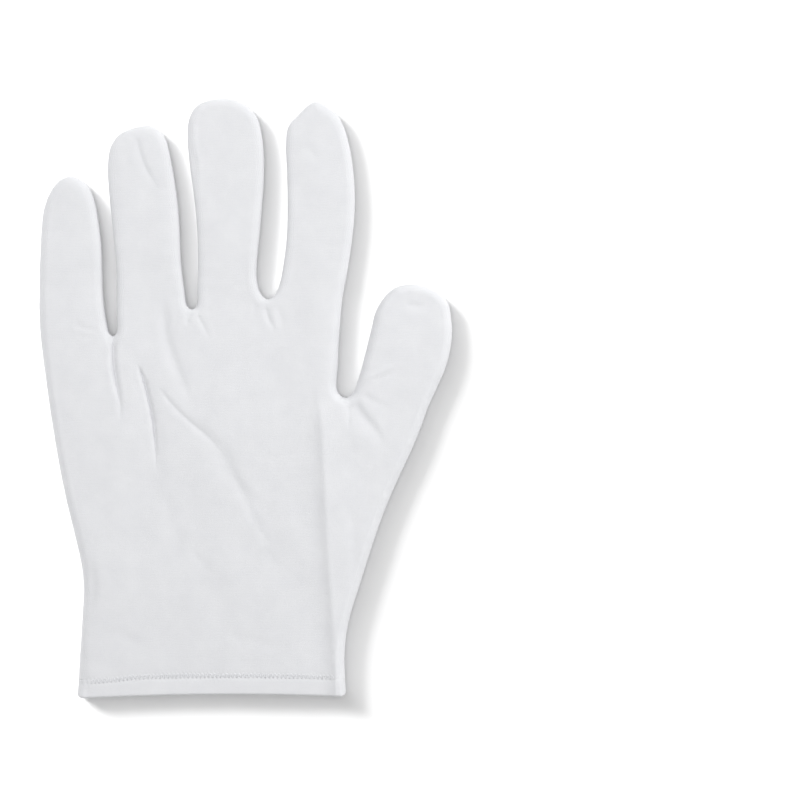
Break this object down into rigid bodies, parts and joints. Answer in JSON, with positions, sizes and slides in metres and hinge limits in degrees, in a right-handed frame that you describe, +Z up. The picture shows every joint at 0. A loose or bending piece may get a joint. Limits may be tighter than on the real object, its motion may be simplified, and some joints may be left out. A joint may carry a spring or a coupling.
{
  "type": "cotton moisturizing glove",
  "caption": "Thin white cotton glove for the left hand, lying flat with its back up: upper and lower panel, side strips between the fingers and a stitched hem at the open cuff",
  "frame": {"origin": "On the surface that the glove lies on, under the middle of its whole outline", "axes": "+Y runs from the cuff to the fingertips, +X to the thumb's side, +Z up out of the back of the hand"},
  "size_m": [0.1584, 0.23, 0.0094],
  "materials": {
    "cotton_knit": "fine single knit, matt, slightly fuzzy",
    "cotton_strip": "fine single knit, matt",
    "cotton_hem": "turned double knit with a zigzag stitch"
  },
  "bodies": {
    "root": {"back_panel": "cotton_knit", "palm_panel": "cotton_knit", "fourchette_little_ring": "cotton_strip", "fourchette_ring_middle": "cotton_strip", "fourchette_middle_index": "cotton_strip", "cuff_hem": "cotton_hem"}
  },
  "joints": []
}
